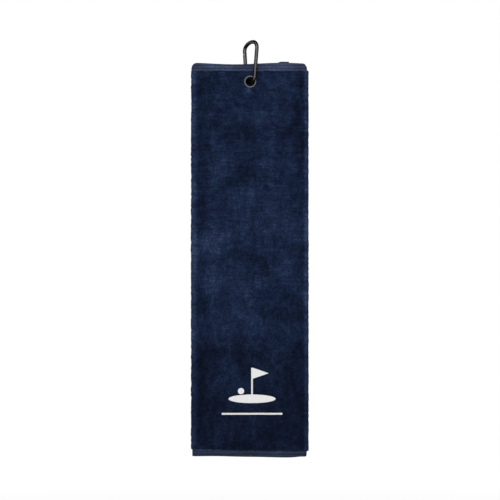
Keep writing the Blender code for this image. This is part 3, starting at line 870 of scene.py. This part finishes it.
def wire(path, radius):
    """A round wire along a path in the X-Z plane, with flat ends."""
    bm = bmesh.new()
    rings = []
    for index, point in enumerate(path):
        run = (path[min(index + 1, len(path) - 1)] - path[max(index - 1, 0)]).normalized()
        side = Vector((-run.y, run.x))
        ring = []
        for step in range(WIRE_SIDES):
            spin = 2 * pi * step / WIRE_SIDES
            across = side * cos(spin) * radius
            ring.append(bm.verts.new((point.x + across.x, sin(spin) * radius, point.y + across.y)))
        rings.append(ring)
    for one, other in zip(rings, rings[1:]):
        for step in range(WIRE_SIDES):
            ahead = (step + 1) % WIRE_SIDES
            bm.faces.new((one[step], one[ahead], other[ahead], other[step]))
    bm.faces.new(rings[0])
    bm.faces.new(rings[-1])
    bmesh.ops.recalc_face_normals(bm, faces=bm.faces)
    return bm


def carved(name, bm, cuts, place, material):
    """A metal piece with shapes cut from it or, where an operation says so, joined to it."""
    source = new_object(name + "_source", bm, material)
    tools = []
    for tool_mesh, turn, operation in cuts:
        tool = new_object(name + "_tool", tool_mesh, material)
        tool.data.transform(turn)
        modifier = source.modifiers.new("shape", "BOOLEAN")
        modifier.operation = operation
        modifier.object = tool
        tools.append(tool)
    graph = bpy.context.evaluated_depsgraph_get()
    mesh = bpy.data.meshes.new_from_object(source.evaluated_get(graph))
    for used in (source, *tools):
        bpy.data.objects.remove(used, do_unlink=True)
    mesh.name = name
    mesh.transform(place)
    mesh.materials.clear()
    mesh.materials.append(material)
    mesh.shade_smooth()
    mesh.set_sharp_from_angle(angle=radians(35))
    piece = bpy.data.objects.new(name, mesh)
    bpy.context.scene.collection.objects.link(piece)
    return piece


def gate_point(along):
    """A point on the gate's centre line, in the carabiner's plane."""
    return GATE_HINGE + Vector((-sin(GATE_LEAN), cos(GATE_LEAN))) * along


def pin_hole(height):
    """A hole across the wire, a little wider than a pin."""
    return rod((0, -PAST_WIRE, height), (0, PAST_WIRE, height), PIN_RADIUS + GAP)


def make_carabiner_body():
    """The bent wire, with the tongue that the gate turns on and the hooked tongue of its nose."""
    corners = [gate_point(CAM_TOP), gate_point(-GATE_HINGE.y / cos(GATE_LEAN)),
               SPINE_FOOT, TOP_CORNER, ROOF, gate_point(SHOULDER), gate_point(NOSE_END)]
    radii = [LOWER_BEND, LOWER_BEND, TOP_CORNER_BEND, ROOF_BEND, SHOULDER_BEND]
    cuts = []
    for side in (-1, 1):
        near, far = sorted((side * TONGUE / 2, side * PAST_WIRE))
        cuts.append((rod((0, near, 0), (0, far, 0), CORNER_SWEEP), LEAN, "DIFFERENCE"))
        cheek = box((-PAST_WIRE, near, NOSE_END - PAST_WIRE), (PAST_WIRE, far, GATE_LENGTH + GAP))
        cuts.append((cheek, LEAN, "DIFFERENCE"))
    notch = box((-PIN_RADIUS - GAP, -PAST_WIRE, LATCH - PIN_RADIUS - 2 * GAP),
                (PAST_WIRE, PAST_WIRE, LATCH + PIN_RADIUS + GAP))
    cuts += [(notch, LEAN, "DIFFERENCE"), (pin_hole(0), LEAN, "DIFFERENCE")]
    body = carved("bent_wire", wire(bent_path(corners, radii), WIRE_RADIUS), cuts, PLANE, gunmetal)
    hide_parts("carabiner_body")
    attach(body, "carabiner")


def make_gate():
    """The gate's rod, with a round end, a slot for each tongue, the spring's bore and two pin holes."""
    stem = rod((0, 0, 0), (0, 0, GATE_LENGTH), WIRE_RADIUS)
    ball = bmesh.new()
    bmesh.ops.create_uvsphere(ball, u_segments=WIRE_SIDES, v_segments=16, radius=WIRE_RADIUS)
    half = SLOT / 2
    lower_slot = box((-PAST_WIRE, -half, -PAST_WIRE), (PAST_WIRE, half, LOWER_SLOT_TOP))
    upper_slot = box((-PAST_WIRE, -half, UPPER_SLOT), (PAST_WIRE, half, GATE_LENGTH + PAST_WIRE))
    bore = rod((0, 0, CAM_TOP), (0, 0, BORE_TOP), BORE_RADIUS)
    upright = Matrix()
    cuts = [(ball, upright, "UNION")]
    cuts += [(shape, upright, "DIFFERENCE")
             for shape in (lower_slot, upper_slot, bore, pin_hole(LATCH), pin_hole(0))]
    gate = carved("gate_stem", stem, cuts, PLANE @ LEAN, gunmetal)
    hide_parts("carabiner_gate")
    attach(gate, "gate")


def half_round(inner, outer, level, height, steps=12):
    """Profile of a rounded rim, from its outer side over the top to its inner side."""
    middle, half = (inner + outer) / 2, (outer - inner) / 2
    return [(middle + half * cos(pi * i / steps), level + height * sin(pi * i / steps))
            for i in range(steps + 1)]


def turned(name, profile, steps=96):
    """A ring with its axis front to back through the eyelet's middle; heights go to the front."""
    bm = bmesh.new()
    rings = [[bm.verts.new((radius * cos(2 * pi * i / steps), -height,
                            EYELET_Z + radius * sin(2 * pi * i / steps)))
              for i in range(steps)] for radius, height in profile]
    for one, other in zip(rings, rings[1:] + rings[:1]):
        for i in range(steps):
            ahead = (i + 1) % steps
            bm.faces.new((one[i], one[ahead], other[ahead], other[i]))
    bmesh.ops.recalc_face_normals(bm, faces=bm.faces)
    ring = new_object(name, bm, eyelet_metal)
    ring.data.shade_smooth()
    ring.data.set_sharp_from_angle(angle=radians(40))
    return ring


def make_eyelet():
    """The eyelet's domed front rim and barrel in one, and the washer it is curled over."""
    barrel_low, barrel_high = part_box("eyelet_barrel")
    washer_low, washer_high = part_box("eyelet_washer")
    hole = 5.7 * MM
    wall = 0.6 * MM
    face = washer_low.y
    front = -barrel_low.y
    back = barrel_high.y
    seat = washer_high.y + GAP / 2
    profile = half_round(hole, FLANGE_RADIUS, face, front - face)
    curl = half_round(hole, hole + 3 * wall, -seat, seat - back)
    profile += curl[::-1] + [(hole + wall, -seat), (hole + wall, face)]
    barrel = turned("eyelet_rim", profile)
    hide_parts("eyelet_barrel")
    inner = hole + wall + 0.1 * MM
    bevel = 0.2 * MM
    near, far = -washer_low.y, -washer_high.y
    profile = [(inner, near), (FLANGE_RADIUS - 2 * bevel, near), (FLANGE_RADIUS, near - 0.75 * bevel),
               (FLANGE_RADIUS, far + bevel), (FLANGE_RADIUS - bevel, far), (inner, far)]
    washer = turned("eyelet_back_ring", profile)
    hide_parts("eyelet_washer")
    for ring in (barrel, washer):
        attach(ring, "towel")
    return barrel


def finish_gate_steel():
    """Steel on the small frame pieces in the gate, and a mesh of its own for the spring."""
    for node in ("gate_hinge_pin", "gate_latch_pin", "gate_spring", "gate_plunger"):
        materials = frame["nodes"][node].data.materials
        materials.clear()
        materials.append(steel)
    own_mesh(frame["nodes"]["gate_spring"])


# ---------------------------------------------------------------- surroundings

def make_camera():
    """A long lens straight in front of the towel, whose view frames it as the photo does."""
    camera = bpy.data.objects.new("camera", bpy.data.cameras.new("camera"))
    camera.data.lens = 150
    camera.data.sensor_width = 36
    view_width = 0.6365
    view_middle = (MIDDLE_X + 0.3 * MM, -0.2616)
    distance = view_width * camera.data.lens / camera.data.sensor_width
    camera.location = (view_middle[0], -distance, view_middle[1])
    camera.rotation_euler = (pi / 2, 0, 0)
    bpy.context.scene.collection.objects.link(camera)
    bpy.context.scene.camera = camera


def add_light(name, place, aim, size, power):
    data = bpy.data.lights.new(name, "AREA")
    data.shape = "RECTANGLE"
    data.size, data.size_y = size
    data.energy = power
    light = bpy.data.objects.new(name, data)
    light.location = place
    light.rotation_euler = (Vector(aim) - Vector(place)).to_track_quat("-Z", "Y").to_euler()
    bpy.context.scene.collection.objects.link(light)
    return light


def make_lights():
    """Large soft lights in front and above, and two small ones for the carabiner."""
    middle = (0, 0, -0.26)
    carabiner = (0, 0, -0.02)
    add_light("front_softbox", (-0.9, -2.0, 0.7), middle, (1.2, 1.2), 6)
    back = add_light("back_softbox", (0, 1.3, 1.5), middle, (1.6, 0.9), 36)
    back.visible_glossy = False       # or the eyelet's barrel would glint
    add_light("left_card", (-1.4, 0.45, -0.05), carabiner, (0.5, 0.8), 1.5)
    add_light("high_spot", (-0.86, -0.63, 1.44), carabiner, (0.3, 0.3), 2.3)


def make_room():
    """Seen directly the room is white. As a light it is brightest in front and dark behind,
    which gives the wire its dark edges."""
    world = bpy.data.worlds.new("studio")
    bpy.context.scene.world = world
    world.use_nodes = True
    nodes, links = world.node_tree.nodes, world.node_tree.links
    backdrop = nodes["Background"]
    way = nodes.new("ShaderNodeTexCoord").outputs["Generated"]
    split = nodes.new("ShaderNodeSeparateXYZ")
    links.new(way, split.inputs[0])
    glow = nodes.new("ShaderNodeMapRange")
    glow.interpolation_type = "SMOOTHSTEP"
    for key, value in (("From Min", -0.25), ("From Max", -1.0), ("To Min", 0.03), ("To Max", 1.6)):
        glow.inputs[key].default_value = value
    links.new(split.outputs["Y"], glow.inputs["Value"])
    rays = nodes.new("ShaderNodeLightPath")
    strength = nodes.new("ShaderNodeMix")
    links.new(rays.outputs["Is Camera Ray"], strength.inputs["Factor"])
    links.new(glow.outputs[0], strength.inputs["A"])
    strength.inputs["B"].default_value = 1.0
    links.new(strength.outputs[0], backdrop.inputs["Strength"])
    backdrop.inputs["Color"].default_value = (1, 1, 1, 1)
    bpy.context.scene.view_settings.view_transform = "Standard"


def make_eyelet_shade():
    """A small dark film inside the eyelet's barrel, because the hole is dark in the photo."""
    # The film is painted shade: a dark sheet where the inside of the hole would only be in shadow.
    bpy.ops.mesh.primitive_circle_add(vertices=64, radius=6.0 * MM, fill_type="NGON",
                                      location=(0, 2.0 * MM, EYELET_Z), rotation=(pi / 2, 0, 0))
    film = bpy.context.object
    film.name = "painted_shade_film"
    f = Finish("painted_shade_film")
    f.nodes.remove(f.shader)
    dark = f.add("ShaderNodeBsdfTransparent", Color=(0.004, 0.004, 0.004, 1))
    f.links.new(dark.outputs[0], f.nodes["Material Output"].inputs["Surface"])
    film.data.materials.append(f.material)


def make_floor():
    """A pale round floor that fades into the white room towards its rim."""
    drop = 0.35
    fade_start, fade_end = 0.3, 3.0
    bpy.ops.mesh.primitive_circle_add(vertices=96, radius=4.4, fill_type="NGON",
                                      location=(0, 0, BOTTOM - drop))
    floor = bpy.context.object
    floor.name = "floor"
    floor.visible_glossy = False
    f = Finish("floor", Roughness=0.9)
    place = f.add("ShaderNodeTexCoord").outputs["Object"]
    away = f.add("ShaderNodeVectorMath", [(0, place)], operation="LENGTH").outputs["Value"]
    rim = f.fade(away, fade_start, fade_end, 0.0, 1.0)
    f.colour(f.ramp(rim, [(0.0, (0.75, 0.75, 0.75)), (1.0, (0.0, 0.0, 0.0))]))
    f.links.new(f.fade(away, fade_start, fade_end, 0.3, 1.0), f.shader.inputs["Emission Strength"])
    f.shader.inputs["Emission Color"].default_value = (1, 1, 1, 1)
    floor.data.materials.append(f.material)


velour = velour_finish()
terry = terry_finish()
top_weave = woven_finish("top_weave", (0.034, 0.048, 0.098))
bottom_weave = woven_finish("bottom_weave", (0.0140, 0.0240, 0.0545))
thread = thread_finish()
white_ink = ink_finish()
gunmetal = metal_finish("gunmetal", (0.060, 0.058, 0.057), (0.130, 0.127, 0.125), (0.16, 0.26))
eyelet_metal = metal_finish("eyelet_metal", (0.080, 0.080, 0.088), (0.150, 0.150, 0.162), (0.30, 0.42))
steel = metal_finish("steel", (0.42, 0.42, 0.42), (0.62, 0.62, 0.62), (0.2, 0.35))

make_camera()
centre_cloth = make_front()
sheets = [(centre_cloth, make_hems(), RIGHT_END - LEFT_BEND)]
eyelet = make_eyelet()
for flap_side, flap_line, free_edge, fold_root in FLAPS:
    flap_cloth, flap_hems = make_flap(flap_side, flap_line, free_edge, fold_root)
    sheets.append((flap_cloth, flap_hems, abs(fold_root - free_edge)))
make_stitching()
make_print()
make_carabiner_body()
make_gate()
finish_gate_steel()
make_lights()
make_room()
make_eyelet_shade()
make_floor()
